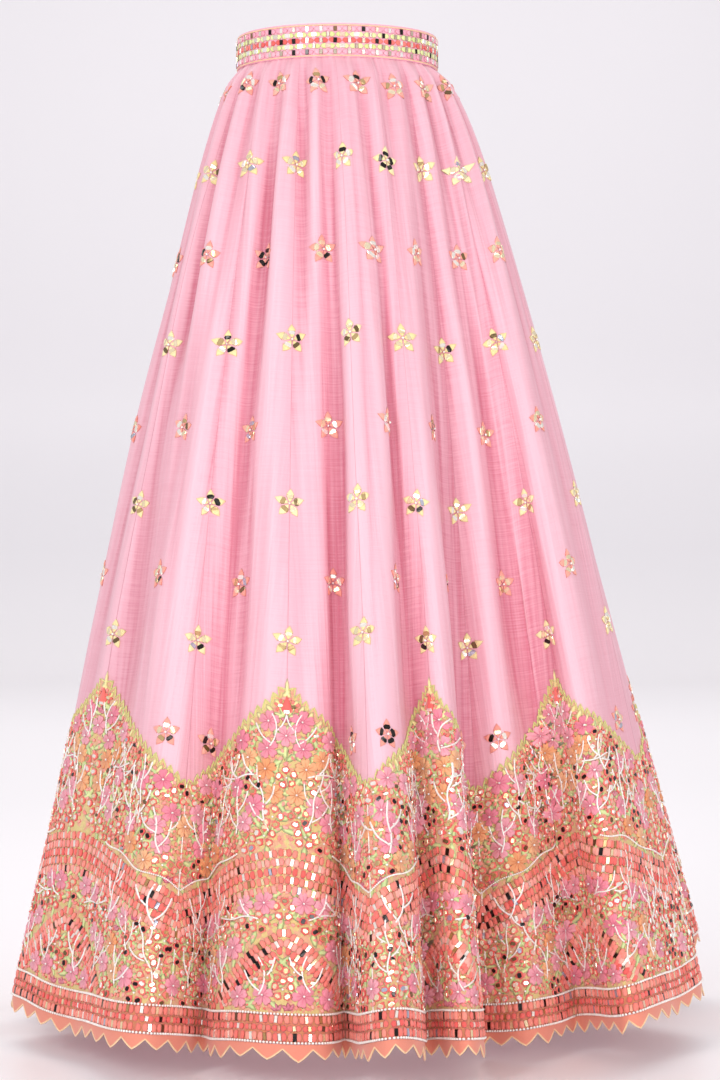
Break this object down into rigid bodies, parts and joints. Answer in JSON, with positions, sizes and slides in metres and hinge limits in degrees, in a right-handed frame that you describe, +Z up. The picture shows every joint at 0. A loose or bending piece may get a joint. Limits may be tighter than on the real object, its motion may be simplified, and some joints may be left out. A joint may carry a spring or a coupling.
{
  "type": "lehenga skirt",
  "caption": "Floor-length flared silk lehenga skirt with an embroidered waistband, scattered star motifs and a peaked floral border, hanging open and hollow as worn.",
  "frame": {"origin": "centre of the waist opening at the top edge of the waistband", "axes": "+Z up along the standing wearer, -Y the front of the skirt, +X the wearer's left"},
  "size_m": [0.776, 0.7355, 1.0773],
  "materials": {
    "band_embroidery": "mirror and bead embroidery in coral and lime on pink silk",
    "silk": "soft satin raw silk",
    "border_embroidery": "dense floral thread, bead and mirror embroidery",
    "edging": "toothed coral edge with a peach piping"
  },
  "bodies": {
    "root": {"waistband": "band_embroidery", "kali_01": "silk", "kali_02": "silk", "kali_03": "silk", "kali_04": "silk", "kali_05": "silk", "kali_06": "silk", "kali_07": "silk", "kali_08": "silk", "kali_09": "silk", "kali_10": "silk", "kali_11": "silk", "kali_12": "silk", "kali_13": "silk", "kali_14": "silk", "kali_15": "silk", "kali_16": "silk", "kali_17": "silk", "kali_18": "silk", "border_01": "border_embroidery", "border_02": "border_embroidery", "border_03": "border_embroidery", "border_04": "border_embroidery", "border_05": "border_embroidery", "border_06": "border_embroidery", "border_07": "border_embroidery", "border_08": "border_embroidery", "border_09": "border_embroidery", "hem_edging_01": "edging", "hem_edging_02": "edging", "hem_edging_03": "edging", "hem_edging_04": "edging", "hem_edging_05": "edging", "hem_edging_06": "edging", "hem_edging_07": "edging", "hem_edging_08": "edging", "hem_edging_09": "edging"}
  },
  "joints": []
}
